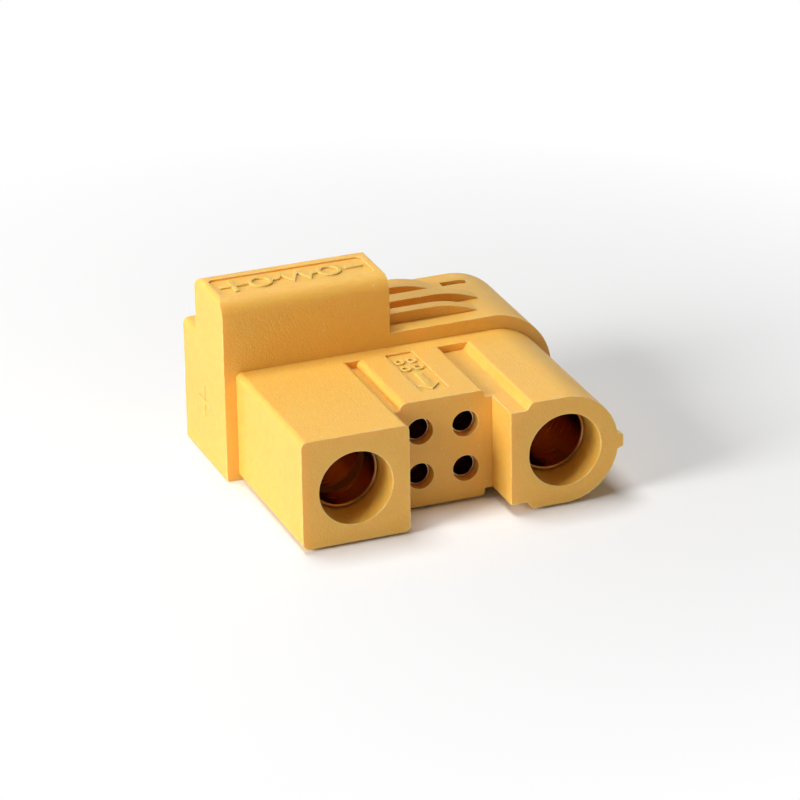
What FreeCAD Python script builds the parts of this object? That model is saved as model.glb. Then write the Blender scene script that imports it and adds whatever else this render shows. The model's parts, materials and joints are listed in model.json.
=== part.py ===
import FreeCAD, Part
import os
from math import cos, radians, sin, sqrt

# Two-pole battery plug of the anti-spark kind with four signal sockets between its power sockets.
# Millimetres. The origin is the centre of the body's underside, on which the plug rests.
# +X runs from the positive to the negative socket, the plug mates towards -Y, +Z is up.

# Power sockets
PIN_RADIUS = 3.4            # inner radius of the socket, for a pin just under 7 mm
POWER_X = 11.0              # each socket's distance from the middle plane
POWER_Z = 6.0
MOUTH_RADIUS = 3.84         # plastic mouth in front of the contact
RIM_DEPTH = 3.8             # how far the metal rim sits behind the mating face
NOSE_RADIUS = 3.64          # thin-walled front of the contact inside the mouth
NOSE_LENGTH = 2.3
CONTACT_RADIUS = 4.4
CONTACT_GAP = 0.05          # clearance between a contact and its bore
RIM_LEAD_IN = 0.12

# Mating blocks
BLOCK_HEIGHT = 11.4
BLOCK_BOTTOM = 0.3
BLOCK_TOP = BLOCK_BOTTOM + BLOCK_HEIGHT
BLOCK_LENGTH = 18.4
POSITIVE_LEFT = -16.6
POSITIVE_RIGHT = -5.4
POSITIVE_CORNER = 0.65
NEGATIVE_LEFT = 5.25
NEGATIVE_RADIUS = BLOCK_HEIGHT / 2
SIGNAL_LENGTH = 13.6
SIGNAL_LEFT = -4.5
SIGNAL_RIGHT = 4.42
SIGNAL_LEFT_ROUND = 0.72
SIGNAL_RIGHT_ROUND = 0.45

# Grooves between the blocks
GROOVE_DEPTH = 0.76
GROOVE_END = 1.9            # they stop this far in front of the body
SHELF_RIGHT = 6.95
SLOPE_RIGHT = 7.5
SLOPE_ROUND_TOP = 0.5
SLOPE_ROUND_FOOT = 0.3

# Moulding gate nub on the negative block
NUB_REACH = 0.55
NUB_LENGTH = 0.9
NUB_BOTTOM = 5.15
NUB_TOP = 6.75
NUB_SLOPE = 0.2

# Body behind the blocks
BODY_LEFT = -17.85
BODY_HEIGHT = 13.2
BODY_DEPTH = 12.2
BODY_FRONT = -BODY_DEPTH / 2
BODY_BACK = BODY_DEPTH / 2
BODY_END_RADIUS = BODY_HEIGHT / 2
BODY_END_X = 10.8           # centre of the round end
BODY_TOP_EDGE = 0.6
BODY_BOTTOM_EDGE = 0.25

# Tall block over the positive socket, which houses the anti-spark resistor
TALL_RIGHT = -0.15
TALL_DEPTH = 8.25
TALL_TOP = 19.35
TALL_BACK = BODY_FRONT + TALL_DEPTH
TALL_FRONT_ROUND = 1.7
TALL_BACK_ROUND = 1.5
TALL_LEFT_ROUND = 0.5
TALL_RIGHT_ROUND = 0.2

# Recessed label panels
PANEL_LEFT = -17.2
PANEL_RIGHT = -0.95
PANEL_FRONT = -4.3
PANEL_BACK = 0.1
PANEL_DEPTH = 0.2
PANEL_CORNER = 0.6
TAG_HALF_WIDTH = 1.48
TAG_FRONT = -17.8
TAG_BACK = -7.9
TAG_DEPTH = 0.22
TAG_CORNER = 0.3

# Arched grip ribs on the body: front, back and where the flat top ends
RIBS = (
    (-4.15, -2.95, 5.2),
    (-1.25, 0.5, 6.45),
    (2.2, 4.35, 3.3),
)
RIB_HEIGHT = 1.2
RIB_ARC_RADIUS = 11.0
RIB_SINK = 0.12             # the arc runs this far into the body's top

# Walls and the hollow of the body
WALL = 1.2
CAVITY_LEFT = BODY_LEFT + WALL
CAVITY_FRONT = BODY_FRONT + 1.5
CAVITY_BOTTOM = WALL
CAVITY_TOP = BODY_HEIGHT - WALL
CAVITY_END_RADIUS = BODY_END_RADIUS - WALL
PARTITION_X = 5.8
PARTITION_THICKNESS = 0.9
PARTITION_TOP = 9.9
PARTITION_BACK = 3.6

# Latch windows and the snap noses of the rear cover
WINDOW_X = 10.7
WINDOW_WIDTH = 2.9
WINDOW_FRONT = 3.1
WINDOW_BACK = 4.1
LATCH_REACH = 0.7
LATCH_RAMP = 0.35
LATCH_GAP = 0.12
LATCH_THICKNESS = 0.6
LATCH_DEPTH = 0.2           # how far an arm stays under the wall, which is round to the right
LATCH_FRONT = 2.3
LATCH_SLIT = 0.5            # free space on each side of a latch arm

# Rear cover
COVER_THICKNESS = 1.9
COVER_FRONT = BODY_BACK - COVER_THICKNESS
COVER_GAP = 0.08
OUTLET_RADIUS = 3.5
SIGNAL_WINDOW = 7.4         # side of the square window behind the signal contacts
SIGNAL_WINDOW_CORNER = 1.0
CRADLE_INNER = 4.1
CRADLE_OUTER = 4.68
CRADLE_TOP = 5.2

# Power contact behind the socket
SOCKET_END = -8.6
COLLAR_RADIUS = 4.72
COLLAR_LENGTH = 1.5
CUP_RADIUS = 4.0
CUP_BORE_RADIUS = 3.0
CUP_BOTTOM = -5.4
CUP_END = 3.6
CUP_OPEN_FROM = -0.8
CUP_OPEN_Z = 6.6

# Anti-spark stack in the positive socket
RING_FLANGE = 0.75
INSULATOR_LENGTH = 1.5
LUG_INNER = 4.2
LUG_REACH = 5.9
LUG_WIDTH = 1.6
LUG_ANGLE = 135.0           # the lug points to the block's upper left corner
KEYWAY_REACH = 6.05
KEYWAY_WIDTH = 1.75

# Resistor with its two leads
LEAD_RADIUS = 0.35
LEAD_BEND = 0.9             # a bend is one short chord that starts this far from its corner
LEAD_OFFSET = 5.25          # distance of the front lead from the socket's axis
RESISTOR_LEFT = -13.3
RESISTOR_RIGHT = -4.7
RESISTOR_Y = -1.9
RESISTOR_Z = 15.6
RESISTOR_CAP_RADIUS = 1.9
RESISTOR_WAIST_RADIUS = 1.7
RESISTOR_CAP_LENGTH = 1.6
RESISTOR_STEP = 0.25
RIGHT_LEAD_X = -3.1
LEAD_RUN_Z = 11.1
LEAD_HOLE_RADIUS = 0.45
LEAD_TIP_Z = 9.3

# Resistor chamber and its cover
CHAMBER_LEFT = CAVITY_LEFT
CHAMBER_RIGHT = TALL_RIGHT - WALL
CHAMBER_FRONT = BODY_FRONT + WALL
CHAMBER_TOP = TALL_TOP - PANEL_DEPTH - WALL
CHAMBER_FLOOR = BODY_HEIGHT
LID_THICKNESS = 1.2
LID_GAP = 0.05
LID_LEDGE = 0.5             # the lid rests on a ledge at its left and right
LEAD_SLOT_WIDTH = 1.2
LEAD_SLOT_FRONT = -2.5
LEAD_SLOT_BACK = 0.9
SADDLES = (-10.9, -7.1)
SADDLE_WIDTH = 0.8
SADDLE_DEPTH = 3.0

# Signal contacts
SIGNAL_PITCH = 4.8
SIGNAL_MOUTH_RADIUS = 1.39
SIGNAL_PIN_RADIUS = 1.15
SIGNAL_RIM_DEPTH = 1.0
SIGNAL_BARREL_RADIUS = 1.32
SIGNAL_SOCKET_LENGTH = 8.0
SIGNAL_COLLAR_RADIUS = 1.85
SIGNAL_COLLAR_LENGTH = 1.2
SIGNAL_CUP_RADIUS = 1.1
SIGNAL_CUP_BORE_RADIUS = 0.75
SIGNAL_CUP_LENGTH = 4.0
SIGNAL_CUP_BORE_LENGTH = 3.0

# Planes along the mating direction
MATING_FACE = BODY_FRONT - BLOCK_LENGTH
SIGNAL_FACE = BODY_FRONT - SIGNAL_LENGTH
RIM_Y = MATING_FACE + RIM_DEPTH
SHOULDER_Y = RIM_Y + NOSE_LENGTH
RING_BACK = SHOULDER_Y + RING_FLANGE
INSULATOR_BACK = RING_BACK + INSULATOR_LENGTH
COLLAR_BACK = CAVITY_FRONT + COLLAR_LENGTH
OVERLAP = 1.0               # how far united forms run into each other

ALONG_X = FreeCAD.Vector(1, 0, 0)
ALONG_Y = FreeCAD.Vector(0, 1, 0)
ALONG_Z = FreeCAD.Vector(0, 0, 1)
MITRED = 1                  # corner style of a swept wire
FULL_TURN = 360
SAME_PLACE = 0.02           # positions closer than this count as equal
PARALLEL = 0.999            # directions count as parallel above this cosine


# Helpers

def point(x, y, z):
    return FreeCAD.Vector(x, y, z)


def box(x0, x1, y0, y1, z0, z1):
    return Part.makeBox(x1 - x0, y1 - y0, z1 - z0, point(x0, y0, z0))


def rod(x, z, radius, y0, y1):
    return Part.makeCylinder(radius, y1 - y0, point(x, y0, z), ALONG_Y)


def drilled(shape, tools):
    for tool in tools:
        shape = shape.cut(tool)
    return shape


def joined(shapes):
    result = shapes[0]
    for shape in shapes[1:]:
        result = result.fuse(shape)
    return result.removeSplitter()


def runs_along(edge, direction):
    ends = edge.Vertexes
    if len(ends) != 2:
        return False
    span = ends[1].Point.sub(ends[0].Point)
    return span.Length > 0 and abs(span.normalize().dot(direction)) > PARALLEL


def edges_along(shape, direction, chosen):
    return [e for e in shape.Edges if runs_along(e, direction) and chosen(e.CenterOfMass)]


def near(a, b):
    return abs(a - b) < SAME_PLACE


def turned(x, z, outline):
    """A turned piece: its outline is given as (position along Y, radius) and spun about the Y direction."""
    corners = [point(x + radius, y, z) for y, radius in outline]
    face = Part.Face(Part.makePolygon(corners + corners[:1]))
    return face.revolve(point(x, 0, z), ALONG_Y, FULL_TURN)


def slab_along_y(corners, y0, y1):
    """A flat outline of (x, z) corners drawn out from y0 to y1."""
    points = [point(x, y0, z) for x, z in corners]
    face = Part.Face(Part.makePolygon(points + points[:1]))
    return face.extrude(point(0, y1 - y0, 0))


def rounded_pocket(x0, x1, y0, y1, z0, z1, corner):
    block = box(x0, x1, y0, y1, z0, z1)
    upright = edges_along(block, ALONG_Z, lambda c: True)
    return block.makeFillet(corner, upright)


def bent_wire(corners, radius, bend):
    """A round wire along the corners, with a short chord across each corner."""
    points = [corners[0]]
    for before, corner, after in zip(corners, corners[1:], corners[2:]):
        points.append(corner + before.sub(corner).normalize() * bend)
        points.append(corner + after.sub(corner).normalize() * bend)
    points.append(corners[-1])
    section = Part.Wire([Part.makeCircle(radius, points[0], points[1].sub(points[0]))])
    return Part.makePolygon(points).makePipeShell([section], True, False, MITRED)


# Housing: outer forms

def body():
    square = box(BODY_LEFT, BODY_END_X, BODY_FRONT, BODY_BACK, 0, BODY_HEIGHT)
    top = edges_along(square, ALONG_Y, lambda c: near(c.x, BODY_LEFT) and near(c.z, BODY_HEIGHT))
    square = square.makeFillet(BODY_TOP_EDGE, top)
    bottom = edges_along(square, ALONG_Y, lambda c: near(c.x, BODY_LEFT) and near(c.z, 0))
    square = square.makeFillet(BODY_BOTTOM_EDGE, bottom)
    round_end = rod(BODY_END_X, BODY_END_RADIUS, BODY_END_RADIUS, BODY_FRONT, BODY_BACK)
    return joined([square, round_end])


def tall_block():
    """One block rounded to the front and back cuts another that is rounded to the left and right."""
    block = box(BODY_LEFT, TALL_RIGHT, BODY_FRONT, TALL_BACK, BODY_HEIGHT - OVERLAP, TALL_TOP)
    front_top = edges_along(block, ALONG_X, lambda c: near(c.y, BODY_FRONT) and near(c.z, TALL_TOP))
    lengthwise = block.makeFillet(TALL_FRONT_ROUND, front_top)
    back_top = edges_along(lengthwise, ALONG_X, lambda c: near(c.y, TALL_BACK) and near(c.z, TALL_TOP))
    lengthwise = lengthwise.makeFillet(TALL_BACK_ROUND, back_top)
    left_top = edges_along(block, ALONG_Y, lambda c: near(c.x, BODY_LEFT) and near(c.z, TALL_TOP))
    crosswise = block.makeFillet(TALL_LEFT_ROUND, left_top)
    right_top = edges_along(crosswise, ALONG_Y, lambda c: near(c.x, TALL_RIGHT) and near(c.z, TALL_TOP))
    crosswise = crosswise.makeFillet(TALL_RIGHT_ROUND, right_top)
    return lengthwise.common(crosswise)


def positive_block():
    block = box(POSITIVE_LEFT, POSITIVE_RIGHT, MATING_FACE, BODY_FRONT + OVERLAP, BLOCK_BOTTOM, BLOCK_TOP)
    return block.makeFillet(POSITIVE_CORNER, edges_along(block, ALONG_Y, lambda c: True))


def negative_block():
    centre_z = BLOCK_BOTTOM + NEGATIVE_RADIUS
    shelf_top = BLOCK_TOP - GROOVE_DEPTH
    shelf_bottom = BLOCK_BOTTOM + GROOVE_DEPTH
    corners = [
        (NEGATIVE_LEFT, shelf_bottom), (SHELF_RIGHT, shelf_bottom), (SLOPE_RIGHT, BLOCK_BOTTOM),
        (POWER_X, BLOCK_BOTTOM), (POWER_X, BLOCK_TOP), (SLOPE_RIGHT, BLOCK_TOP),
        (SHELF_RIGHT, shelf_top), (NEGATIVE_LEFT, shelf_top),
    ]
    square_side = slab_along_y(corners, MATING_FACE, BODY_FRONT + OVERLAP)
    tops = edges_along(square_side, ALONG_Y, lambda c: near(c.x, SLOPE_RIGHT))
    square_side = square_side.makeFillet(SLOPE_ROUND_TOP, tops)
    feet = edges_along(square_side, ALONG_Y, lambda c: near(c.x, SHELF_RIGHT))
    square_side = square_side.makeFillet(SLOPE_ROUND_FOOT, feet)
    round_side = rod(POWER_X, centre_z, NEGATIVE_RADIUS, MATING_FACE, BODY_FRONT + OVERLAP)
    return joined([square_side, round_side, gate_nub()])


def gate_nub():
    right = POWER_X + NEGATIVE_RADIUS
    corners = [
        (right - OVERLAP, NUB_BOTTOM - NUB_SLOPE), (right, NUB_BOTTOM),
        (right + NUB_REACH, NUB_BOTTOM + NUB_SLOPE), (right + NUB_REACH, NUB_TOP - NUB_SLOPE),
        (right + NUB_REACH / 2, NUB_TOP), (right - OVERLAP, NUB_TOP),
    ]
    return slab_along_y(corners, MATING_FACE, MATING_FACE + NUB_LENGTH)


def signal_block():
    block = box(SIGNAL_LEFT, SIGNAL_RIGHT, SIGNAL_FACE, BODY_FRONT + OVERLAP, BLOCK_BOTTOM, BLOCK_TOP)
    left = edges_along(block, ALONG_Y, lambda c: near(c.x, SIGNAL_LEFT))
    block = block.makeFillet(SIGNAL_LEFT_ROUND, left)
    right = edges_along(block, ALONG_Y, lambda c: near(c.x, SIGNAL_RIGHT))
    block = block.makeFillet(SIGNAL_RIGHT_ROUND, right)
    web = box(
        POSITIVE_RIGHT - OVERLAP, NEGATIVE_LEFT + OVERLAP, SIGNAL_FACE, BODY_FRONT + OVERLAP,
        BLOCK_BOTTOM + GROOVE_DEPTH, BLOCK_TOP - GROOVE_DEPTH)
    bridge = box(
        POSITIVE_RIGHT - OVERLAP, SLOPE_RIGHT + OVERLAP, BODY_FRONT - GROOVE_END, BODY_FRONT + OVERLAP,
        BLOCK_BOTTOM, BLOCK_TOP)
    return joined([block, web, bridge])


def grip_rib(front, back, flat_end):
    """A rib with a flat top that ends in an arc running down into the body's top."""
    base = BODY_HEIGHT - OVERLAP
    top = BODY_HEIGHT + RIB_HEIGHT
    start = TALL_RIGHT - OVERLAP if front < TALL_BACK else TALL_RIGHT
    drop = RIB_HEIGHT + RIB_SINK
    reach = sqrt(RIB_ARC_RADIUS ** 2 - (RIB_ARC_RADIUS - drop) ** 2)
    half = reach / 2
    half_drop = RIB_ARC_RADIUS - sqrt(RIB_ARC_RADIUS ** 2 - half ** 2)
    arc = Part.Arc(
        point(flat_end, front, top), point(flat_end + half, front, top - half_drop),
        point(flat_end + reach, front, top - drop)).toShape()
    edges = [
        Part.makeLine(point(start, front, top), point(flat_end, front, top)),
        arc,
        Part.makeLine(point(flat_end + reach, front, top - drop), point(flat_end + reach, front, base)),
        Part.makeLine(point(flat_end + reach, front, base), point(start, front, base)),
        Part.makeLine(point(start, front, base), point(start, front, top)),
    ]
    return Part.Face(Part.Wire(edges)).extrude(point(0, back - front, 0))


def outer_housing():
    ribs = [grip_rib(*rib) for rib in RIBS]
    return joined([body(), tall_block(), positive_block(), negative_block(), signal_block()] + ribs)


# Housing: hollows

def power_bore(x):
    mouth = rod(x, POWER_Z, MOUTH_RADIUS, MATING_FACE - OVERLAP, SHOULDER_Y + OVERLAP)
    barrel = rod(x, POWER_Z, CONTACT_RADIUS + CONTACT_GAP, SHOULDER_Y, CAVITY_FRONT + OVERLAP)
    return [mouth, barrel]


def radial_bar(inner, reach, width, y0, y1):
    """A bar that points from the positive socket's axis to the block's upper left corner."""
    bar = box(inner, reach, y0, y1, -width / 2, width / 2)
    bar.rotate(point(0, 0, 0), ALONG_Y, -LUG_ANGLE)
    bar.translate(point(-POWER_X, 0, POWER_Z))
    return bar


def signal_positions():
    half = SIGNAL_PITCH / 2
    return [(x, z) for z in (POWER_Z + half, POWER_Z - half) for x in (-half, half)]


def signal_bore(x, z):
    return rod(x, z, SIGNAL_MOUTH_RADIUS, SIGNAL_FACE - OVERLAP, CAVITY_FRONT + OVERLAP)


def body_cavity():
    """The hollow of the body, open at the back, with two low partitions left standing."""
    square = box(CAVITY_LEFT, BODY_END_X, CAVITY_FRONT, BODY_BACK + OVERLAP, CAVITY_BOTTOM, CAVITY_TOP)
    round_end = rod(BODY_END_X, BODY_END_RADIUS, CAVITY_END_RADIUS, CAVITY_FRONT, BODY_BACK + OVERLAP)
    hollow = joined([square, round_end])
    half = PARTITION_THICKNESS / 2
    for x in (-PARTITION_X, PARTITION_X):
        wall = box(x - half, x + half, CAVITY_FRONT, PARTITION_BACK, CAVITY_BOTTOM, PARTITION_TOP)
        hollow = hollow.cut(wall)
    return hollow


def resistor_chamber():
    """The hollow of the tall block, open at the back, with two saddles left standing."""
    hollow = box(
        CHAMBER_LEFT, CHAMBER_RIGHT, CHAMBER_FRONT, TALL_BACK + OVERLAP, CHAMBER_FLOOR, CHAMBER_TOP)
    saddle_top = RESISTOR_Z - RESISTOR_WAIST_RADIUS
    for x in SADDLES:
        saddle = box(
            x - SADDLE_WIDTH / 2, x + SADDLE_WIDTH / 2,
            RESISTOR_Y - SADDLE_DEPTH / 2, RESISTOR_Y + SADDLE_DEPTH / 2,
            CHAMBER_FLOOR, saddle_top)
        hollow = hollow.cut(saddle)
    return hollow


def lid_seat():
    return box(
        CHAMBER_LEFT - LID_LEDGE, CHAMBER_RIGHT + LID_LEDGE, TALL_BACK - LID_THICKNESS, TALL_BACK + OVERLAP,
        CHAMBER_FLOOR, CHAMBER_TOP)


def lead_slot(x):
    half = LEAD_SLOT_WIDTH / 2
    return box(
        x - half, x + half, LEAD_SLOT_FRONT, LEAD_SLOT_BACK, CAVITY_TOP - OVERLAP, CHAMBER_FLOOR + OVERLAP)


def latch_positions():
    """Each latch as (x, inner face of the wall, outward direction)."""
    return [
        (WINDOW_X, CAVITY_TOP, 1),
        (WINDOW_X, CAVITY_BOTTOM, -1),
        (-WINDOW_X, CAVITY_BOTTOM, -1),
    ]


def latch_window(x, wall_z, outward):
    half = WINDOW_WIDTH / 2
    z0, z1 = sorted((wall_z - outward * WALL / 2, wall_z + outward * (WALL + OVERLAP)))
    return box(x - half, x + half, WINDOW_FRONT, WINDOW_BACK, z0, z1)


def front_lead_x():
    return -POWER_X + LEAD_OFFSET * cos(radians(LUG_ANGLE))


def front_lead_z():
    return POWER_Z + LEAD_OFFSET * sin(radians(LUG_ANGLE))


def housing():
    label_panel = rounded_pocket(
        PANEL_LEFT, PANEL_RIGHT, PANEL_FRONT, PANEL_BACK,
        TALL_TOP - PANEL_DEPTH, TALL_TOP + OVERLAP, PANEL_CORNER)
    signal_tag = rounded_pocket(
        -TAG_HALF_WIDTH, TAG_HALF_WIDTH, TAG_FRONT, TAG_BACK,
        BLOCK_TOP - TAG_DEPTH, BLOCK_TOP + OVERLAP, TAG_CORNER)
    keyway = radial_bar(LUG_INNER, KEYWAY_REACH, KEYWAY_WIDTH, SHOULDER_Y, CAVITY_FRONT + OVERLAP)
    hollows = [label_panel, signal_tag, keyway, body_cavity(), resistor_chamber(), lid_seat()]
    hollows += power_bore(-POWER_X) + power_bore(POWER_X)
    hollows += [lead_slot(front_lead_x()), lead_slot(RIGHT_LEAD_X)]
    for x, z in signal_positions():
        hollows.append(signal_bore(x, z))
    for latch in latch_positions():
        hollows.append(latch_window(*latch))
    return drilled(outer_housing(), hollows)


# Contacts

def rim():
    """The front edge of a power socket with its lead-in, from the inner to the outer wall."""
    return [(RIM_Y + RIM_LEAD_IN, PIN_RADIUS), (RIM_Y, PIN_RADIUS + RIM_LEAD_IN), (RIM_Y, NOSE_RADIUS)]


def barrel_and_cup():
    """The rear of a power contact: barrel, collar, solder cup and the bottom of the socket."""
    return [
        (CAVITY_FRONT, CONTACT_RADIUS), (CAVITY_FRONT, COLLAR_RADIUS),
        (COLLAR_BACK, COLLAR_RADIUS), (COLLAR_BACK, CUP_RADIUS), (CUP_END, CUP_RADIUS),
        (CUP_END, CUP_BORE_RADIUS), (CUP_BOTTOM, CUP_BORE_RADIUS), (CUP_BOTTOM, 0),
        (SOCKET_END, 0), (SOCKET_END, PIN_RADIUS),
    ]


def cup_opening(x):
    side = CUP_RADIUS + OVERLAP
    return box(x - side, x + side, CUP_OPEN_FROM, CUP_END + OVERLAP, CUP_OPEN_Z, POWER_Z + side)


def negative_contact():
    shoulder = [(SHOULDER_Y, NOSE_RADIUS), (SHOULDER_Y, CONTACT_RADIUS)]
    piece = turned(POWER_X, POWER_Z, rim() + shoulder + barrel_and_cup())
    return piece.cut(cup_opening(POWER_X))


def positive_contact():
    front = [(INSULATOR_BACK, PIN_RADIUS), (INSULATOR_BACK, CONTACT_RADIUS)]
    piece = turned(-POWER_X, POWER_Z, front + barrel_and_cup())
    lead_hole = Part.makeCylinder(
        LEAD_HOLE_RADIUS, CUP_RADIUS + OVERLAP, point(-POWER_X, RESISTOR_Y, POWER_Z), ALONG_Z)
    return drilled(piece, [cup_opening(-POWER_X), lead_hole])


def precharge_ring():
    flange = [
        (SHOULDER_Y, NOSE_RADIUS), (SHOULDER_Y, CONTACT_RADIUS),
        (RING_BACK, CONTACT_RADIUS), (RING_BACK, PIN_RADIUS),
    ]
    ring = turned(-POWER_X, POWER_Z, rim() + flange)
    lug = radial_bar(LUG_INNER, LUG_REACH, LUG_WIDTH, SHOULDER_Y, RING_BACK)
    return joined([ring, lug])


def insulating_ring():
    outline = [
        (RING_BACK, PIN_RADIUS), (RING_BACK, CONTACT_RADIUS),
        (INSULATOR_BACK, CONTACT_RADIUS), (INSULATOR_BACK, PIN_RADIUS),
    ]
    return turned(-POWER_X, POWER_Z, outline)


def signal_contact(x, z):
    front = SIGNAL_FACE + SIGNAL_RIM_DEPTH
    collar_back = CAVITY_FRONT + SIGNAL_COLLAR_LENGTH
    cup_end = CAVITY_FRONT + SIGNAL_CUP_LENGTH
    cup_bottom = cup_end - SIGNAL_CUP_BORE_LENGTH
    socket_end = front + SIGNAL_SOCKET_LENGTH
    outline = [
        (front, SIGNAL_PIN_RADIUS), (front, SIGNAL_BARREL_RADIUS),
        (CAVITY_FRONT, SIGNAL_BARREL_RADIUS), (CAVITY_FRONT, SIGNAL_COLLAR_RADIUS),
        (collar_back, SIGNAL_COLLAR_RADIUS), (collar_back, SIGNAL_CUP_RADIUS),
        (cup_end, SIGNAL_CUP_RADIUS), (cup_end, SIGNAL_CUP_BORE_RADIUS),
        (cup_bottom, SIGNAL_CUP_BORE_RADIUS), (cup_bottom, 0),
        (socket_end, 0), (socket_end, SIGNAL_PIN_RADIUS),
    ]
    return turned(x, z, outline)


# Anti-spark resistor

def resistor_body():
    """Lacquered body with a thicker cap at each end, lying along X."""
    left_cap = RESISTOR_LEFT + RESISTOR_CAP_LENGTH
    right_cap = RESISTOR_RIGHT - RESISTOR_CAP_LENGTH
    outline = [
        (RESISTOR_LEFT, 0), (RESISTOR_LEFT, RESISTOR_CAP_RADIUS), (left_cap, RESISTOR_CAP_RADIUS),
        (left_cap + RESISTOR_STEP, RESISTOR_WAIST_RADIUS),
        (right_cap - RESISTOR_STEP, RESISTOR_WAIST_RADIUS),
        (right_cap, RESISTOR_CAP_RADIUS), (RESISTOR_RIGHT, RESISTOR_CAP_RADIUS), (RESISTOR_RIGHT, 0),
    ]
    corners = [point(x, RESISTOR_Y, RESISTOR_Z + radius) for x, radius in outline]
    face = Part.Face(Part.makePolygon(corners + corners[:1]))
    return face.revolve(point(0, RESISTOR_Y, RESISTOR_Z), ALONG_X, FULL_TURN)


def resistor_lead_ring():
    """From the back of the ring's lug along the keyway, up into the chamber and over to the resistor."""
    x, z = front_lead_x(), front_lead_z()
    return bent_wire(
        [point(x, RING_BACK, z), point(x, RESISTOR_Y, z), point(x, RESISTOR_Y, RESISTOR_Z),
         point(RESISTOR_LEFT, RESISTOR_Y, RESISTOR_Z)],
        LEAD_RADIUS, LEAD_BEND)


def resistor_lead_contact():
    """From the resistor down into the body and over to the positive solder cup."""
    return bent_wire(
        [point(RESISTOR_RIGHT, RESISTOR_Y, RESISTOR_Z), point(RIGHT_LEAD_X, RESISTOR_Y, RESISTOR_Z),
         point(RIGHT_LEAD_X, RESISTOR_Y, LEAD_RUN_Z), point(-POWER_X, RESISTOR_Y, LEAD_RUN_Z),
         point(-POWER_X, RESISTOR_Y, LEAD_TIP_Z)],
        LEAD_RADIUS, LEAD_BEND)


# Covers

def cover_plate():
    square = box(
        CAVITY_LEFT + COVER_GAP, BODY_END_X, COVER_FRONT, BODY_BACK,
        CAVITY_BOTTOM + COVER_GAP, CAVITY_TOP - COVER_GAP)
    round_end = rod(BODY_END_X, BODY_END_RADIUS, CAVITY_END_RADIUS - COVER_GAP, COVER_FRONT, BODY_BACK)
    return joined([square, round_end])


def power_outlet(x):
    return rod(x, POWER_Z, OUTLET_RADIUS, COVER_FRONT - OVERLAP, BODY_BACK + OVERLAP)


def signal_window():
    """One window with rounded corners for the wires of all four signal contacts."""
    half = SIGNAL_WINDOW / 2
    block = box(-half, half, COVER_FRONT - OVERLAP, BODY_BACK + OVERLAP, POWER_Z - half, POWER_Z + half)
    return block.makeFillet(SIGNAL_WINDOW_CORNER, edges_along(block, ALONG_Y, lambda c: True))


def contact_cradle(x):
    """Two curved fingers under the solder cup, beside the latch arm, that press on the contact's collar."""
    wall = rod(x, POWER_Z, CRADLE_OUTER, COLLAR_BACK, COVER_FRONT + OVERLAP)
    wall = wall.cut(rod(x, POWER_Z, CRADLE_INNER, COLLAR_BACK - OVERLAP, COVER_FRONT))
    side = CRADLE_OUTER + OVERLAP
    upper = box(x - side, x + side, COLLAR_BACK - OVERLAP, COVER_FRONT, CRADLE_TOP, POWER_Z + side)
    latch_x = WINDOW_X if x > 0 else -WINDOW_X
    gap = WINDOW_WIDTH / 2 + LATCH_SLIT
    slit = box(latch_x - gap, latch_x + gap, COLLAR_BACK - OVERLAP, COVER_FRONT, 0, POWER_Z)
    return drilled(wall, [upper, slit])


def latch(x, wall_z, outward):
    """Arm under the wall with a ramped nose that snaps into the window."""
    half = WINDOW_WIDTH / 2 - LATCH_GAP
    face_z = wall_z - outward * LATCH_DEPTH
    z0, z1 = sorted((face_z, face_z - outward * LATCH_THICKNESS))
    arm = box(x - half, x + half, LATCH_FRONT, COVER_FRONT + OVERLAP, z0, z1)
    nose_back = WINDOW_BACK - LATCH_GAP
    nose_front = WINDOW_FRONT + LATCH_GAP
    tip_z = wall_z + outward * LATCH_REACH
    corners = [
        point(x - half, nose_front, face_z), point(x - half, nose_back, face_z),
        point(x - half, nose_back, tip_z), point(x - half, nose_front + LATCH_RAMP, tip_z),
    ]
    nose = Part.Face(Part.makePolygon(corners + corners[:1])).extrude(point(2 * half, 0, 0))
    return joined([arm, nose])


def rear_cover():
    pieces = [cover_plate(), contact_cradle(-POWER_X), contact_cradle(POWER_X)]
    for position in latch_positions():
        pieces.append(latch(*position))
    return drilled(joined(pieces), [power_outlet(-POWER_X), power_outlet(POWER_X), signal_window()])


def resistor_cover():
    return box(
        CHAMBER_LEFT - LID_LEDGE + LID_GAP, CHAMBER_RIGHT + LID_LEDGE - LID_GAP,
        TALL_BACK - LID_THICKNESS, TALL_BACK, CHAMBER_FLOOR, CHAMBER_TOP - LID_GAP)


# Every piece under its own name

def pieces():
    named = {
        "housing": housing(),
        "rear_cover": rear_cover(),
        "resistor_cover": resistor_cover(),
        "positive_contact": positive_contact(),
        "precharge_ring": precharge_ring(),
        "insulating_ring": insulating_ring(),
        "negative_contact": negative_contact(),
        "resistor_body": resistor_body(),
        "resistor_lead_ring": resistor_lead_ring(),
        "resistor_lead_contact": resistor_lead_contact(),
    }
    for number, (x, z) in enumerate(signal_positions(), start=1):
        named["signal_contact_%d" % number] = signal_contact(x, z)
    return named


os.makedirs("parts", exist_ok=True)
for name, shape in pieces().items():
    shape.exportStep(os.path.join("parts", name + ".step"))
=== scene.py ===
import json
from math import cos, pi, radians, sin

import bmesh
import bpy
from mathutils import Matrix, Vector


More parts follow.
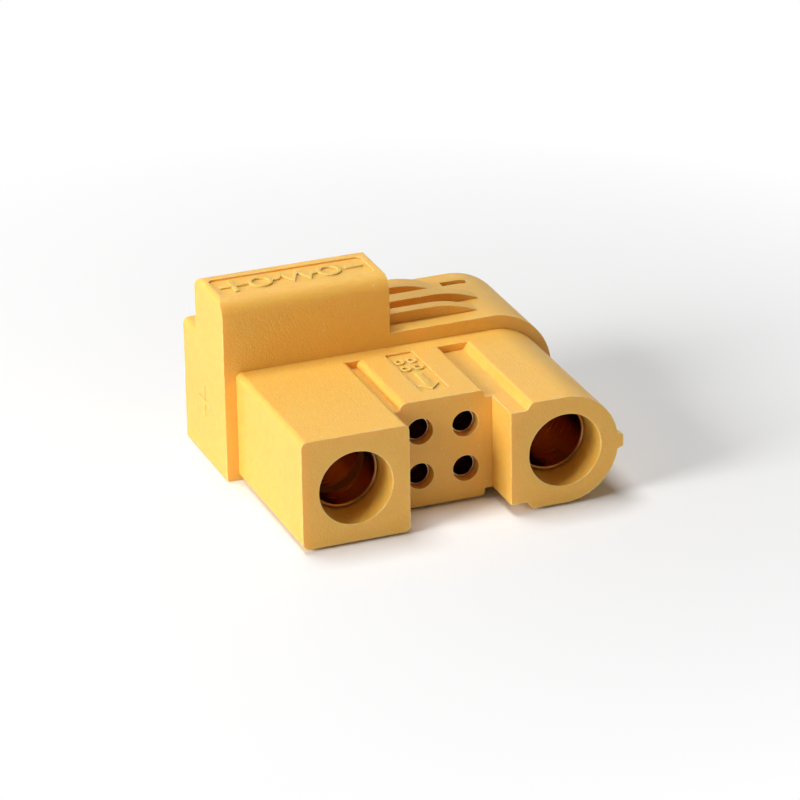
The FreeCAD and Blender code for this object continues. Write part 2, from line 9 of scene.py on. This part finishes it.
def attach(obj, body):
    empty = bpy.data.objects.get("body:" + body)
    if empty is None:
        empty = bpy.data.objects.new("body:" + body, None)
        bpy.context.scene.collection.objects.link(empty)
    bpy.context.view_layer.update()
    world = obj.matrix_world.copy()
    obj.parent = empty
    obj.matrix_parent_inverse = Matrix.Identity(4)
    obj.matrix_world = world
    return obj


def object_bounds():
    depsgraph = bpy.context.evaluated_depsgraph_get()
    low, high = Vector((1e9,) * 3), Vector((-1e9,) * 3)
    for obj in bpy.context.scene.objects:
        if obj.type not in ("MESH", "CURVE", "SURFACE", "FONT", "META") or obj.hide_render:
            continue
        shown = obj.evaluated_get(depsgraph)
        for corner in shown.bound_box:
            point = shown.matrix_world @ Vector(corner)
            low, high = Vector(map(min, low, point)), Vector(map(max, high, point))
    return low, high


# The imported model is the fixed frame. Metres, the plug mates towards -Y, +Z is up.
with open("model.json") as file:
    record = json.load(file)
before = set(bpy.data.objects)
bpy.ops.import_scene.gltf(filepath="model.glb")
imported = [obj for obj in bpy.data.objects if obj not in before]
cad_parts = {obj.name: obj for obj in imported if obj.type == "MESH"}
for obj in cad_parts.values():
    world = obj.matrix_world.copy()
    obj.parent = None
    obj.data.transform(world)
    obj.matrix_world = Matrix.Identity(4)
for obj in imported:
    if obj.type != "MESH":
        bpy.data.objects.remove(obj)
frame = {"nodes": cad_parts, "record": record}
cad_low, cad_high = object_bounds()

MM = 0.001

# Camera of the photograph
PHOTO_WIDTH = 800
FOCAL_PIXELS = 4703.0
SENSOR_WIDTH = 36.0
EYE = Vector((-155.70, -410.54, 198.52)) * MM
AZIMUTH = radians(-21.155)
ELEVATION = radians(23.973)
ROLL = radians(-0.990)

# Light levels, where 1 is the light that shows a white surface as white
TOP_LEVEL = 0.56
LEFT_LEVEL = 0.85
SKY_DIFFUSE = 0.12          # the room's light on matt surfaces, the same from all sides
SKY_GLOSSY = 1.0            # the bright wall behind the object as it is mirrored
SKY_FRONT = 0.05            # share of that wall that is mirrored from in front
LEFT_DIRECTION = (-0.88, -0.20, 0.40)
TOP_DIRECTION = (-0.15, 0.14, 0.97)
LAMP_DISTANCE = 0.4
LAMP_SIZE = 0.16
LAMP_UNIT = pi ** 2         # watts per square metre of distance for a level of 1

# Colours
YELLOW = (0.94, 0.53, 0.085)
# The pale yellow also serves on the convex edges, partly as wear and partly as a painted highlight.
YELLOW_PALE = (0.97, 0.82, 0.46)
# The deep yellow also serves as painted shade in creases and inner corners.
YELLOW_DEEP = (0.82, 0.32, 0.035)
FLOOR_WHITE = (0.95, 0.95, 0.95)
GOLD = (0.60, 0.29, 0.085)
# The next colour is a painted highlight on the sharp edges of the gold.
GOLD_EDGE_HIGHLIGHT = (0.97, 0.86, 0.66)
BROWN = (0.42, 0.15, 0.045)
LACQUER = (0.35, 0.52, 0.58)
TIN = (0.72, 0.71, 0.69)
# The next colour is a painted highlight on the sharp edges of the tin.
TIN_EDGE_HIGHLIGHT = (0.92, 0.91, 0.89)

# Finish of the plastic and of the metal
PLASTIC_IOR = 1.5
PLASTIC_SPECULAR = 0.7
PLASTIC_ROUGH_LOW = 0.5
PLASTIC_ROUGH_HIGH = 0.6
GLOW_WEIGHT = 0.6           # light that enters the plastic and comes out beside it
GLOW_RADIUS = (1.0, 0.4, 0.1)
GOLD_ROUGHNESS = 0.22
TIN_ROUGHNESS = 0.3
INSULATOR_ROUGHNESS = 0.4
LACQUER_ROUGHNESS = 0.25

# Range in which nearly all of a noise lies, and the shader's rays for edges and corners
NOISE_LOW = 0.3
NOISE_HIGH = 0.7
EDGE_SAMPLES = 8

# Sizes of the surface detail
GLOW_DEPTH = 0.8 * MM
CLOUD_SIZE = 7.0 * MM
MOTTLE_SIZE = 0.9 * MM
GRAIN_SIZE = 0.22 * MM
GRAIN_DEPTH = 0.05 * MM
SPECK_SIZE = 0.5 * MM
EDGE_RADIUS = 0.07 * MM
# Width of the paler plastic edges, partly wear and partly a painted highlight
EDGE_WEAR_HIGHLIGHT_WIDTH = 0.13 * MM
# Width of the painted highlight on the sharp metal edges
RIM_HIGHLIGHT_WIDTH = 0.12 * MM
# Width of the painted shade in creases and inner corners
CREASE_SHADE_SIZE = 0.3 * MM
TURNING_PITCH = 0.08 * MM   # fine rings of the turned metal
TURNING_DEPTH = 0.004 * MM
TINT_SIZE = 1.6 * MM
METAL_EDGE = 0.05 * MM
SATIN_DEPTH = 0.008 * MM
FLOOR_GAP = 0.02 * MM       # keeps the floor's plane off the flat underside
FLOOR_FADE_START = 32 * MM
FLOOR_FADE_END = 85 * MM
FLOOR_HALF = 2.0

# Raised marks
PANEL_DEPTH = 0.2 * MM
TAG_DEPTH = 0.22 * MM
BLOCK_TOP = 11.7 * MM
MARK_WIDTH = 0.5 * MM
MARK_HEIGHT = 0.2 * MM
MARK_SINK = 0.04 * MM
ZIGZAG_WIDTH = 0.38 * MM
ZIGZAG_PEAKS = 4
ZIGZAG_REACH = 0.9 * MM
ZIGZAG_LEAD = 0.12          # straight share of the sign at each end
PANEL_MARKS_Y = -2.0 * MM
PANEL_PLUS_X = -15.2 * MM
PANEL_PLUS_SIZE = 2.9 * MM
LEFT_RING_X = -12.3 * MM
RIGHT_RING_X = -5.0 * MM
PANEL_RING_RADIUS = 1.05 * MM
MINUS_LEFT = -3.2 * MM
MINUS_RIGHT = -1.6 * MM
TAG_MARK_HEIGHT = 0.18 * MM
TAG_STROKE = 0.26 * MM
ARROW_TIP_Y = -17.2 * MM
ARROW_LENGTH = 4.2 * MM
ARROW_WIDTH = 2.3 * MM
ARROW_STROKE = 0.7 * MM
TAG_RING_RADIUS = 0.44 * MM
TAG_RING_X = 0.66 * MM
TAG_RING_ROWS = (-11.7 * MM, -9.9 * MM)
TAG_RING_CORNERS = 24
SIDE_PLUS_Y = 0.1 * MM
SIDE_PLUS_Z = 6.4 * MM
SIDE_PLUS_SIZE = 3.4 * MM
SIDE_PLUS_STROKE = 0.34 * MM
SIDE_PLUS_EDGE = 0.3 * MM
SIDE_PLUS_HEIGHT = 0.12 * MM


# Node helpers

def add(tree, kind, values=None, **settings):
    node = tree.nodes.new(kind)
    for key, value in settings.items():
        setattr(node, key, value)
    for key, value in (values or {}).items():
        node.inputs[key].default_value = value
    return node


def new_material(name):
    material = bpy.data.materials.new(name)
    material.use_nodes = True
    tree = material.node_tree
    return material, tree, tree.nodes["Principled BSDF"]


def noise(tree, place, size, detail=2.0):
    node = add(tree, "ShaderNodeTexNoise", {"Scale": 1.0 / size, "Detail": detail})
    tree.links.new(place, node.inputs["Vector"])
    return node.outputs["Fac"]


def ramp(tree, value, low, high, out_low=0.0, out_high=1.0):
    node = add(tree, "ShaderNodeMapRange", {
        "From Min": low, "From Max": high, "To Min": out_low, "To Max": out_high})
    tree.links.new(value, node.inputs["Value"])
    return node.outputs["Result"]


def uneven(tree, place, size, detail, low, high):
    """A level that wanders between two values over the surface."""
    return ramp(tree, noise(tree, place, size, detail), NOISE_LOW, NOISE_HIGH, low, high)


def times(tree, a, b):
    node = add(tree, "ShaderNodeMath", operation="MULTIPLY")
    tree.links.new(a, node.inputs[0])
    tree.links.new(b, node.inputs[1])
    return node.outputs[0]


def blend_colour(tree, factor, first, second):
    """Mixes two colours, each a constant or a socket."""
    node = add(tree, "ShaderNodeMix", data_type="RGBA")
    tree.links.new(factor, node.inputs["Factor"])
    for socket, colour in ((node.inputs[6], first), (node.inputs[7], second)):
        if isinstance(colour, tuple):
            socket.default_value = (*colour, 1.0)
        else:
            tree.links.new(colour, socket)
    return node.outputs[2]


def convex_edge(tree, distance):
    """1 on a sharp outer edge and 0 a little way inside it."""
    node = add(
        tree, "ShaderNodeAmbientOcclusion", {"Distance": distance},
        inside=True, only_local=True, samples=EDGE_SAMPLES)
    return ramp(tree, node.outputs["AO"], 0.95, 0.45)


def crease(tree, distance):
    """1 in a sharp inner corner and 0 a little way out of it."""
    node = add(tree, "ShaderNodeAmbientOcclusion", {"Distance": distance}, samples=EDGE_SAMPLES)
    return ramp(tree, node.outputs["AO"], 0.85, 0.35)


# Materials

def crease_shade_level(tree, place):
    """How much of the painted crease shade shows, broken up by noise."""
    return uneven(tree, place, MOTTLE_SIZE, 4.0, 0.35, 0.8)


def moulded_plastic(name):
    """Yellow moulded nylon: fine grain, faint clouds, a few specks, paler edges that are partly wear and
    partly a painted highlight, and painted shade in the creases.
    """
    material, tree, shader = new_material(name)
    place = add(tree, "ShaderNodeTexCoord").outputs["Object"]
    clouds = uneven(tree, place, CLOUD_SIZE, 2.0, 0.0, 1.0)
    colour = blend_colour(tree, clouds, YELLOW, tuple(0.97 * c for c in YELLOW))
    mottle = ramp(tree, noise(tree, place, MOTTLE_SIZE, 4.0), 0.35, 0.75, 0.0, 0.1)
    colour = blend_colour(tree, mottle, colour, YELLOW_DEEP)
    # Painted shade: creases and inner corners are darkened towards the deep yellow, broken up by noise.
    corners = times(tree, crease(tree, CREASE_SHADE_SIZE), crease_shade_level(tree, place))
    colour = blend_colour(tree, corners, colour, YELLOW_DEEP)
    spots = noise(tree, place, SPECK_SIZE, 1.0)
    colour = blend_colour(tree, ramp(tree, spots, 0.75, 0.79, 0.0, 0.5), colour, YELLOW_PALE)
    colour = blend_colour(tree, ramp(tree, spots, 0.25, 0.21, 0.0, 0.4), colour, YELLOW_DEEP)
    # Paler convex edges: partly wear, partly a painted highlight.
    broken = ramp(tree, noise(tree, place, MOTTLE_SIZE, 5.0), 0.42, 0.58, 0.2, 1.0)
    edges = times(tree, convex_edge(tree, EDGE_WEAR_HIGHLIGHT_WIDTH), broken)
    colour = blend_colour(tree, edges, colour, YELLOW_PALE)
    tree.links.new(colour, shader.inputs["Base Color"])
    rough = uneven(tree, place, MOTTLE_SIZE, 3.0, PLASTIC_ROUGH_LOW, PLASTIC_ROUGH_HIGH)
    tree.links.new(rough, shader.inputs["Roughness"])
    shader.inputs["IOR"].default_value = PLASTIC_IOR
    shader.inputs["Specular IOR Level"].default_value = PLASTIC_SPECULAR
    shader.inputs["Subsurface Weight"].default_value = GLOW_WEIGHT
    shader.inputs["Subsurface Radius"].default_value = GLOW_RADIUS
    shader.inputs["Subsurface Scale"].default_value = GLOW_DEPTH
    bevel = add(tree, "ShaderNodeBevel", samples=EDGE_SAMPLES)
    radius = uneven(tree, place, SPECK_SIZE, 2.0, 0.4 * EDGE_RADIUS, 1.2 * EDGE_RADIUS)
    tree.links.new(radius, bevel.inputs["Radius"])
    bump = add(tree, "ShaderNodeBump", {"Strength": 1.0, "Distance": GRAIN_DEPTH})
    tree.links.new(noise(tree, place, GRAIN_SIZE, 3.0), bump.inputs["Height"])
    tree.links.new(bevel.outputs["Normal"], bump.inputs["Normal"])
    tree.links.new(bump.outputs["Normal"], shader.inputs["Normal"])
    return material


def turned_metal(name, colour, edge_highlight_colour, roughness):
    """Plated metal with fine rings from turning along Y, and sharp edges made bright by a highlight
    painted into the colour.
    """
    material, tree, shader = new_material(name)
    place = add(tree, "ShaderNodeTexCoord").outputs["Object"]
    rings = add(tree, "ShaderNodeMapping")
    rings.inputs["Scale"].default_value = (0.02, 1.0, 0.02)
    tree.links.new(place, rings.inputs["Vector"])
    turning = noise(tree, rings.outputs["Vector"], TURNING_PITCH, 3.0)
    tint = uneven(tree, place, TINT_SIZE, 3.0, 0.0, 0.35)
    tinted = blend_colour(tree, tint, colour, tuple(0.8 * c for c in colour))
    # Painted highlight: the colour turns pale on the sharp convex edges.
    tinted = blend_colour(tree, convex_edge(tree, RIM_HIGHLIGHT_WIDTH), tinted, edge_highlight_colour)
    tree.links.new(tinted, shader.inputs["Base Color"])
    rough = ramp(tree, turning, NOISE_LOW, NOISE_HIGH, roughness * 0.8, roughness * 1.25)
    tree.links.new(rough, shader.inputs["Roughness"])
    shader.inputs["Metallic"].default_value = 1.0
    bevel = add(tree, "ShaderNodeBevel", {"Radius": METAL_EDGE}, samples=EDGE_SAMPLES)
    bump = add(tree, "ShaderNodeBump", {"Strength": 0.15, "Distance": TURNING_DEPTH})
    tree.links.new(turning, bump.inputs["Height"])
    tree.links.new(bevel.outputs["Normal"], bump.inputs["Normal"])
    tree.links.new(bump.outputs["Normal"], shader.inputs["Normal"])
    return material


def satin_plastic(name, colour, roughness):
    material, tree, shader = new_material(name)
    place = add(tree, "ShaderNodeTexCoord").outputs["Object"]
    tint = uneven(tree, place, MOTTLE_SIZE, 3.0, 0.0, 0.4)
    tree.links.new(
        blend_colour(tree, tint, colour, tuple(0.75 * c for c in colour)), shader.inputs["Base Color"])
    shader.inputs["Roughness"].default_value = roughness
    bump = add(tree, "ShaderNodeBump", {"Strength": 0.2, "Distance": SATIN_DEPTH})
    tree.links.new(noise(tree, place, GRAIN_SIZE), bump.inputs["Height"])
    tree.links.new(bump.outputs["Normal"], shader.inputs["Normal"])
    return material


plastic = moulded_plastic("moulded_yellow_nylon")
slot_materials = {
    "housing_yellow": plastic,
    "cover_yellow": plastic,
    "gold_plate": turned_metal("gold_plate", GOLD, GOLD_EDGE_HIGHLIGHT, GOLD_ROUGHNESS),
    "insulator_brown": satin_plastic("brown_insulator", BROWN, INSULATOR_ROUGHNESS),
    "resistor_lacquer": satin_plastic("resistor_lacquer", LACQUER, LACQUER_ROUGHNESS),
    "tinned_wire": turned_metal("tinned_wire", TIN, TIN_EDGE_HIGHLIGHT, TIN_ROUGHNESS),
}


def dress_nodes():
    for part in frame["record"]["subparts"]:
        node = frame["nodes"][part["node"]]
        node.data.materials.clear()
        node.data.materials.append(slot_materials[part["material_slot"]])


# Raised marks on the housing

def inset(outline, distance):
    """Moves every corner of a flat outline inwards, which runs anticlockwise."""
    moved = []
    count = len(outline)
    for i, corner in enumerate(outline):
        before = (corner - outline[i - 1]).normalized()
        after = (outline[(i + 1) % count] - corner).normalized()
        normal_before = Vector((-before.y, before.x))
        normal_after = Vector((-after.y, after.x))
        middle = (normal_before + normal_after).normalized()
        moved.append(corner + middle * distance / middle.dot(normal_before))
    return moved


def side_levels(width, height):
    """Inset and rise of a raised mark's side: a steep wall with a rounded top edge."""
    draft = 0.04 * width
    edge = 0.12 * width
    levels = [(0.0, -MARK_SINK), (draft, height - edge)]
    for step in range(1, 4):
        angle = step * pi / 6
        levels.append((draft + edge * (1 - cos(angle)), height - edge + edge * sin(angle)))
    return levels


def raised_plate(outline, width, height):
    """A closed raised form over a flat outline of corners."""
    form = bmesh.new()
    rings = []
    for distance, rise in side_levels(width, height):
        ring = [form.verts.new((p.x, p.y, rise)) for p in inset(outline, distance)]
        rings.append(ring)
    count = len(outline)
    for low, high in zip(rings, rings[1:]):
        for i in range(count):
            j = (i + 1) % count
            form.faces.new((low[i], low[j], high[j], high[i]))
    form.faces.new(list(reversed(rings[0])))
    form.faces.new(rings[-1])
    return form


def raised_line(path, width, height, closed=False):
    """A closed raised stroke along a flat path, with round ends if the path is open."""
    half = [(0.0, height)]
    for distance, rise in reversed(side_levels(width, height)):
        half.append((width / 2 - distance, rise))
    half.append((0.0, -MARK_SINK))
    form = bmesh.new()
    rings = []
    count = len(path)
    for i, place in enumerate(path):
        before = path[i - 1] if i or closed else place
        after = path[(i + 1) % count] if i < count - 1 or closed else place
        along = [(b - a).normalized() for a, b in ((before, place), (place, after)) if (b - a).length > 0]
        normals = [Vector((-v.y, v.x)) for v in along]
        middle = (normals[0] + normals[-1]).normalized()
        across = middle / middle.dot(normals[0])
        rings.append([form.verts.new((*(place + across * o), r)) for o, r in full_profile(half)])
    if closed:
        rings.append(rings[0])
    for first, second in zip(rings, rings[1:]):
        bridge(form, first, second)
    if not closed:
        round_end(form, path[0], path[0] - path[1], half)
        round_end(form, path[-1], path[-1] - path[-2], half)
    bmesh.ops.remove_doubles(form, verts=form.verts, dist=0.0005 * MM)
    return form


def full_profile(half):
    """The whole closed section of a stroke from the half on its left."""
    right = [(-o, r) for o, r in reversed(half[1:-1])]
    return half + right


def bridge(form, first, second):
    count = len(first)
    for i in range(count):
        j = (i + 1) % count
        form.faces.new((first[i], first[j], second[j], second[i]))


def round_end(form, place, outward, half):
    steps = 8
    outward = outward.normalized()
    across = Vector((-outward.y, outward.x))
    rings = []
    for step in range(steps + 1):
        angle = pi * step / steps
        way = across * cos(angle) + outward * sin(angle)
        rings.append([form.verts.new((*(place + way * o), r)) for o, r in half])
    for first, second in zip(rings, rings[1:]):
        for i in range(len(half) - 1):
            form.faces.new((first[i], second[i], second[i + 1], first[i + 1]))


def circle(centre, radius, count=32):
    return [
        centre + Vector((cos(2 * pi * i / count), sin(2 * pi * i / count))) * radius
        for i in range(count)]


def plus_outline(centre, size, stroke):
    """The twelve corners of a plus sign."""
    a = size / 2
    b = stroke / 2
    quarter = [Vector((b, b)), Vector((b, a)), Vector((-b, a))]
    corners = []
    for turn in range(4):
        spin = Matrix.Rotation(turn * pi / 2, 2)
        corners += [centre + spin @ corner for corner in quarter]
    return corners


def arrow_outline(tip, length, width, stroke):
    """An arrow whose tip points towards -Y."""
    head = width / 2
    b = stroke / 2
    corners = [(0, 0), (head, head), (b, head), (b, length), (-b, length), (-b, head), (-head, head)]
    return [tip + Vector(corner) for corner in corners]


def place_mark(name, form, origin, turn=Matrix.Identity(4)):
    bmesh.ops.recalc_face_normals(form, faces=form.faces)
    mesh = bpy.data.meshes.new(name)
    form.to_mesh(mesh)
    form.free()
    mesh.transform(Matrix.Translation(origin) @ turn)
    mesh.materials.append(plastic)
    mark = bpy.data.objects.new(name, mesh)
    bpy.context.scene.collection.objects.link(mark)
    for face in mesh.polygons:
        face.use_smooth = True
    mesh.set_sharp_from_angle(angle=radians(50))
    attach(mark, "root")


def zigzag(left, right, y, peaks, reach):
    """The path of a resistor sign with a straight lead at each end."""
    lead = (right - left) * ZIGZAG_LEAD
    pitch = (right - left - 2 * lead) / peaks
    path = [Vector((left, y)), Vector((left + lead, y))]
    for i in range(peaks):
        side = reach if i % 2 == 0 else -reach
        path.append(Vector((left + lead + (i + 0.5) * pitch, y + side)))
    path += [Vector((right - lead, y)), Vector((right, y))]
    return path


def panel_marks():
    """The anti-spark circuit as raised line work: plus sign, terminals, resistor and minus sign."""
    origin = Vector((0, 0, cad_high.z - PANEL_DEPTH))
    y = PANEL_MARKS_Y
    plus = plus_outline(Vector((PANEL_PLUS_X, y)), PANEL_PLUS_SIZE, MARK_WIDTH)
    place_mark("panel_plus_sign", raised_plate(plus, MARK_WIDTH, MARK_HEIGHT), origin)
    for name, x in (("panel_left_terminal", LEFT_RING_X), ("panel_right_terminal", RIGHT_RING_X)):
        ring = circle(Vector((x, y)), PANEL_RING_RADIUS)
        place_mark(name, raised_line(ring, MARK_WIDTH, MARK_HEIGHT, closed=True), origin)
    clear = 1.25 * PANEL_RING_RADIUS
    path = zigzag(LEFT_RING_X + clear, RIGHT_RING_X - clear, y, ZIGZAG_PEAKS, ZIGZAG_REACH)
    place_mark("panel_resistor_sign", raised_line(path, ZIGZAG_WIDTH, MARK_HEIGHT), origin)
    minus = [Vector((MINUS_LEFT, y)), Vector((MINUS_RIGHT, y))]
    place_mark("panel_minus_sign", raised_line(minus, MARK_WIDTH, MARK_HEIGHT), origin)


def tag_marks():
    """An arrow towards the mating side and four small rings for the signal contacts."""
    origin = Vector((0, 0, BLOCK_TOP - TAG_DEPTH))
    arrow = arrow_outline(Vector((0, ARROW_TIP_Y)), ARROW_LENGTH, ARROW_WIDTH, ARROW_STROKE)
    place_mark("tag_arrow", raised_plate(arrow, TAG_STROKE, TAG_MARK_HEIGHT), origin)
    places = [(x, y) for y in TAG_RING_ROWS for x in (-TAG_RING_X, TAG_RING_X)]
    for number, place in enumerate(places, start=1):
        ring = circle(Vector(place), TAG_RING_RADIUS, TAG_RING_CORNERS)
        form = raised_line(ring, TAG_STROKE, TAG_MARK_HEIGHT, closed=True)
        place_mark("tag_ring_%d" % number, form, origin)


def side_plus():
    """The thin plus sign on the body's left face."""
    outward = Matrix(((0, 0, -1, 0), (-1, 0, 0, 0), (0, 1, 0, 0), (0, 0, 0, 1)))
    origin = Vector((cad_low.x, SIDE_PLUS_Y, SIDE_PLUS_Z))
    outline = plus_outline(Vector((0, 0)), SIDE_PLUS_SIZE, SIDE_PLUS_STROKE)
    place_mark("side_plus_sign", raised_plate(outline, SIDE_PLUS_EDGE, SIDE_PLUS_HEIGHT), origin, outward)


# Stage, lamps and camera

def floor_material():
    """White floor that keeps the shadow near the object and is plain white further out."""
    material, tree, shader = new_material("white_floor")
    tree.nodes.remove(shader)
    plain = add(tree, "ShaderNodeBsdfDiffuse", {"Color": (*FLOOR_WHITE, 1)})
    glow = add(tree, "ShaderNodeEmission", {"Color": (1, 1, 1, 1), "Strength": 1.0})
    place = add(tree, "ShaderNodeTexCoord").outputs["Object"]
    far = add(tree, "ShaderNodeVectorMath", operation="LENGTH")
    tree.links.new(place, far.inputs[0])
    fade = ramp(tree, far.outputs["Value"], FLOOR_FADE_START, FLOOR_FADE_END)
    rays = add(tree, "ShaderNodeLightPath")
    mix = add(tree, "ShaderNodeMixShader")
    tree.links.new(times(tree, fade, rays.outputs["Is Camera Ray"]), mix.inputs["Fac"])
    tree.links.new(plain.outputs[0], mix.inputs[1])
    tree.links.new(glow.outputs[0], mix.inputs[2])
    tree.links.new(mix.outputs[0], tree.nodes["Material Output"].inputs["Surface"])
    return material


def make_floor():
    half = FLOOR_HALF
    mesh = bpy.data.meshes.new("floor")
    corners = [(x, y, -FLOOR_GAP) for x, y in ((-half, -half), (half, -half), (half, half), (-half, half))]
    mesh.from_pydata(corners, [], [(0, 1, 2, 3)])
    mesh.materials.append(floor_material())
    floor = bpy.data.objects.new("floor", mesh)
    bpy.context.scene.collection.objects.link(floor)


def make_world():
    """White for the camera, even for matt surfaces, and a bright wall behind the object in reflections."""
    world = bpy.data.worlds.new("studio")
    world.use_nodes = True
    bpy.context.scene.world = world
    tree = world.node_tree
    background = tree.nodes["Background"]
    background.inputs["Color"].default_value = (1, 1, 1, 1)
    rays = add(tree, "ShaderNodeLightPath")
    direction = add(tree, "ShaderNodeSeparateXYZ")
    tree.links.new(add(tree, "ShaderNodeTexCoord").outputs["Generated"], direction.inputs[0])
    behind = ramp(tree, direction.outputs["Y"], -0.2, 0.4, SKY_FRONT * SKY_GLOSSY, SKY_GLOSSY)
    mirrored = add(tree, "ShaderNodeMix", {"A": SKY_DIFFUSE}, data_type="FLOAT")
    tree.links.new(rays.outputs["Is Glossy Ray"], mirrored.inputs["Factor"])
    tree.links.new(behind, mirrored.inputs["B"])
    seen = add(tree, "ShaderNodeMix", {"B": 1.0}, data_type="FLOAT")
    tree.links.new(rays.outputs["Is Camera Ray"], seen.inputs["Factor"])
    tree.links.new(mirrored.outputs["Result"], seen.inputs["A"])
    tree.links.new(seen.outputs["Result"], background.inputs["Strength"])


def soft_lamp(name, direction, level):
    """A soft box that faces the object from a direction, at a level on a surface that faces it."""
    lamp = bpy.data.lights.new(name, "AREA")
    lamp.shape = "SQUARE"
    lamp.size = LAMP_SIZE
    lamp.energy = level * LAMP_UNIT * LAMP_DISTANCE ** 2
    item = bpy.data.objects.new(name, lamp)
    way = Vector(direction).normalized()
    across = Vector((0, 1, 0)).cross(way).normalized()
    turn = Matrix((across, way.cross(across), way)).transposed().to_4x4()
    item.matrix_world = Matrix.Translation(way * LAMP_DISTANCE) @ turn
    bpy.context.scene.collection.objects.link(item)


def make_camera():
    back = Vector((sin(AZIMUTH) * cos(ELEVATION), -cos(AZIMUTH) * cos(ELEVATION), sin(ELEVATION)))
    right = Vector((cos(AZIMUTH), sin(AZIMUTH), 0))
    up = back.cross(right)
    rolled_right = right * cos(ROLL) + up * sin(ROLL)
    rolled_up = up * cos(ROLL) - right * sin(ROLL)
    turn = Matrix((rolled_right, rolled_up, back)).transposed().to_4x4()
    data = bpy.data.cameras.new("camera")
    data.sensor_width = SENSOR_WIDTH
    data.lens = SENSOR_WIDTH * FOCAL_PIXELS / PHOTO_WIDTH
    data.clip_start = 10 * MM
    camera = bpy.data.objects.new("camera", data)
    camera.matrix_world = Matrix.Translation(EYE) @ turn
    bpy.context.scene.collection.objects.link(camera)
    bpy.context.scene.camera = camera


dress_nodes()
panel_marks()
tag_marks()
side_plus()
make_floor()
make_world()
soft_lamp("left_softbox", LEFT_DIRECTION, LEFT_LEVEL)
soft_lamp("top_softbox", TOP_DIRECTION, TOP_LEVEL)
make_camera()
bpy.context.scene.view_settings.view_transform = "Standard"
